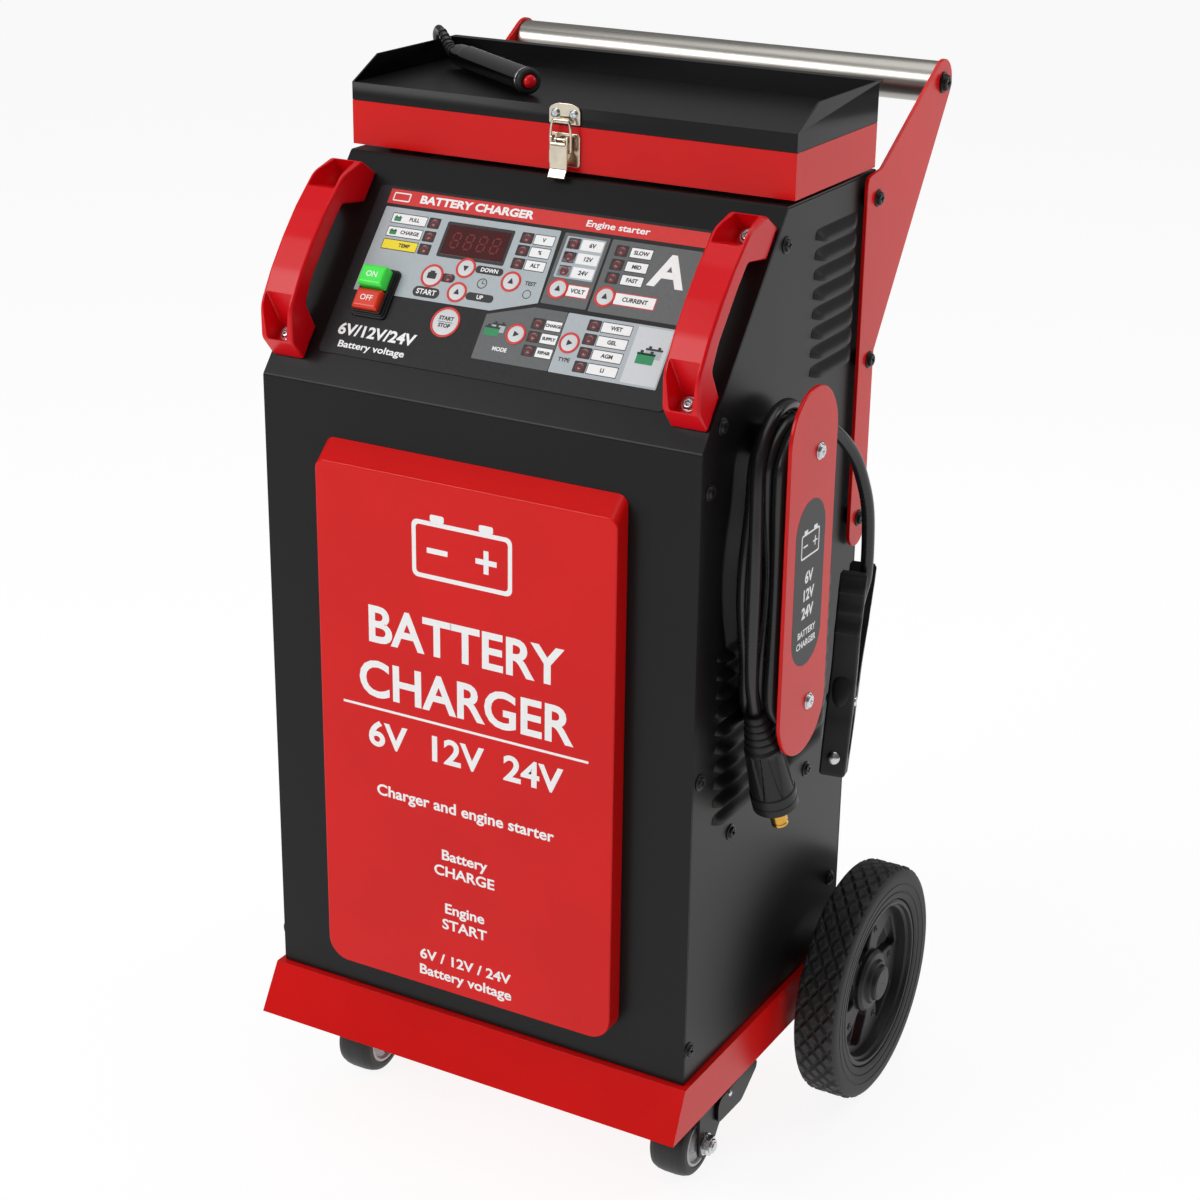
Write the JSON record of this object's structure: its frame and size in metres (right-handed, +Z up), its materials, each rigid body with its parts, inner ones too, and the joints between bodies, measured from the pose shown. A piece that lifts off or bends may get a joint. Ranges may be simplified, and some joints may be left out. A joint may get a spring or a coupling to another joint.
{
  "type": "wheeled car battery charger and engine starter",
  "caption": "Wheeled car battery charger and starter: sheet-metal cabinet, sloping control panel, tray-lid tool box, push bar, cable hanger with clamp lead, hand switch, wheels and castors.",
  "frame": {"origin": "on the floor, under the middle of the machine's box (cords left out)", "axes": "+Z up, -Y the front with the badge and control panel, +X the machine's side that carries the wound lead"},
  "size_m": [0.4748, 0.4268, 0.8542],
  "materials": {
    "red_paint": "gloss powder coat",
    "black_paint": "satin fine-texture powder coat",
    "red_plastic": "semi-gloss moulded",
    "green_plastic": "semi-gloss moulded",
    "black_plastic": "matt moulded",
    "tyre_rubber": "moulded rubber",
    "castor_rubber": "moulded rubber",
    "cable_sheath": "satin sheath",
    "brushed_bar": "brushed",
    "nickel": "bright nickel plate",
    "panel_film": "satin printed film",
    "display_red": "tinted clear window",
    "winding_copper": "varnished winding and laminated core",
    "heatsink_aluminium": "extruded",
    "board_green": "solder mask"
  },
  "bodies": {
    "cabinet": {"base_tray": "red_paint", "front_badge": "red_paint", "storage_box": "red_paint", "left_push_bracket": "red_paint", "right_push_bracket": "red_paint", "right_cable_hanger": "red_paint", "front_panel": "black_paint", "rear_panel": "black_paint", "left_side_panel": "black_paint", "right_side_panel": "black_paint", "left_castor_plate": "black_paint", "right_castor_plate": "black_paint", "left_carry_handle": "red_plastic", "right_carry_handle": "red_plastic", "output_socket_positive": "red_plastic", "switch_housing": "black_plastic", "lead_plug": "black_plastic", "clamp_front_arm": "black_plastic", "fan_housing": "black_plastic", "output_socket_negative": "black_plastic", "mains_gland": "black_plastic", "handset_gland": "black_plastic", "lead_winding": "cable_sheath", "lead_plug_tail": "cable_sheath", "lead_clamp_tail": "cable_sheath", "handset_lead_lower": "cable_sheath", "push_bar": "brushed_bar", "rear_axle": "brushed_bar", "lid_hinge": "brushed_bar", "latch_base": "nickel", "control_overlay": "panel_film", "display_window": "display_red", "transformer": "winding_copper", "rectifier_heatsink": "heatsink_aluminium", "control_board": "board_green"},
    "lid": {"lid_tray": "black_paint", "latch_keeper": "nickel", "handset_body": "black_plastic", "handset_boot": "cable_sheath", "handset_lead_upper": "cable_sheath"},
    "handset_button": {"handset_button": "red_plastic"},
    "on_button": {"on_button": "green_plastic"},
    "off_button": {"off_button": "red_plastic"},
    "latch_lever": {"latch_lever": "nickel"},
    "latch_bail": {"latch_bail": "nickel"},
    "fan_rotor": {"fan_rotor": "black_plastic"},
    "clamp_rear_arm": {"clamp_rear_arm": "black_plastic"},
    "left_castor_fork": {"left_castor_fork": "black_paint"},
    "left_castor_wheel": {"left_castor_wheel": "castor_rubber"},
    "left_brake_pedal": {"left_brake_pedal": "black_paint"},
    "left_wheel": {"left_rear_tyre": "tyre_rubber", "left_rear_rim": "black_plastic"},
    "right_castor_fork": {"right_castor_fork": "black_paint"},
    "right_castor_wheel": {"right_castor_wheel": "castor_rubber"},
    "right_brake_pedal": {"right_brake_pedal": "black_paint"},
    "right_wheel": {"right_rear_tyre": "tyre_rubber", "right_rear_rim": "black_plastic"}
  },
  "joints": [
    {"name": "lid_hinge", "type": "hinge", "parent": "cabinet", "child": "lid", "pos_m": [0, 0.08145, 0.8128], "axis": [-1, 0, 0], "range_deg": [0, 95]},
    {"name": "handset_button_press", "type": "slide", "parent": "lid", "child": "handset_button", "axis": [-0.8314, 0.5557, 0], "range_m": [0, 0.0025], "stiffness_N_per_m": 400},
    {"name": "on_button_press", "type": "slide", "parent": "cabinet", "child": "on_button", "axis": [0, 0.7757, -0.6312], "range_m": [0, 0.004]},
    {"name": "off_button_press", "type": "slide", "parent": "cabinet", "child": "off_button", "axis": [0, 0.7757, -0.6312], "range_m": [-0.004, 0]},
    {"name": "latch_lever_hinge", "type": "hinge", "parent": "cabinet", "child": "latch_lever", "pos_m": [0.001, -0.06755, 0.8035], "axis": [-1, 0, 0], "range_deg": [0, 150]},
    {"name": "latch_bail_hinge", "type": "hinge", "parent": "latch_lever", "child": "latch_bail", "pos_m": [0.001, -0.06755, 0.795], "axis": [-1, 0, 0], "range_deg": [-150, 0]},
    {"name": "left_castor_swivel", "type": "hinge", "parent": "cabinet", "child": "left_castor_fork", "pos_m": [-0.15, -0.09005, 0.08], "axis": [0, 0, 1], "continuous": true},
    {"name": "left_castor_spin", "type": "hinge", "parent": "left_castor_fork", "child": "left_castor_wheel", "pos_m": [-0.15, -0.11805, 0.03], "axis": [1, 0, 0], "continuous": true},
    {"name": "left_brake_press", "type": "hinge", "parent": "left_castor_fork", "child": "left_brake_pedal", "pos_m": [-0.1275, -0.09005, 0.05], "axis": [-1, 0, 0], "range_deg": [0, 10]},
    {"name": "left_wheel_spin", "type": "hinge", "parent": "cabinet", "child": "left_wheel", "pos_m": [-0.2187, 0.07195, 0.1], "axis": [1, 0, 0], "continuous": true},
    {"name": "right_castor_swivel", "type": "hinge", "parent": "cabinet", "child": "right_castor_fork", "pos_m": [0.15, -0.09005, 0.08], "axis": [0, 0, 1], "continuous": true},
    {"name": "right_castor_spin", "type": "hinge", "parent": "right_castor_fork", "child": "right_castor_wheel", "pos_m": [0.15, -0.11805, 0.03], "axis": [1, 0, 0], "continuous": true},
    {"name": "right_brake_press", "type": "hinge", "parent": "right_castor_fork", "child": "right_brake_pedal", "pos_m": [0.1725, -0.09005, 0.05], "axis": [-1, 0, 0], "range_deg": [0, 10]},
    {"name": "right_wheel_spin", "type": "hinge", "parent": "cabinet", "child": "right_wheel", "pos_m": [0.2187, 0.07195, 0.1], "axis": [1, 0, 0], "continuous": true},
    {"name": "fan_spin", "type": "hinge", "parent": "cabinet", "child": "fan_rotor", "pos_m": [0, 0.06465, 0.52], "axis": [0, 1, 0], "continuous": true},
    {"name": "clamp_open", "type": "hinge", "parent": "cabinet", "child": "clamp_rear_arm", "pos_m": [0.21526, 0.00546, 0.38125], "axis": [0.9672, 0.2506, -0.0409], "range_deg": [0, 15], "stiffness_Nm_per_rad": 1.5, "springref_deg": -8.59}
  ],
  "couplings": [
    {"joint": "off_button_press", "follows": "on_button_press", "ratio": -1},
    {"joint": "latch_bail_hinge", "follows": "latch_lever_hinge", "ratio": -1}
  ]
}
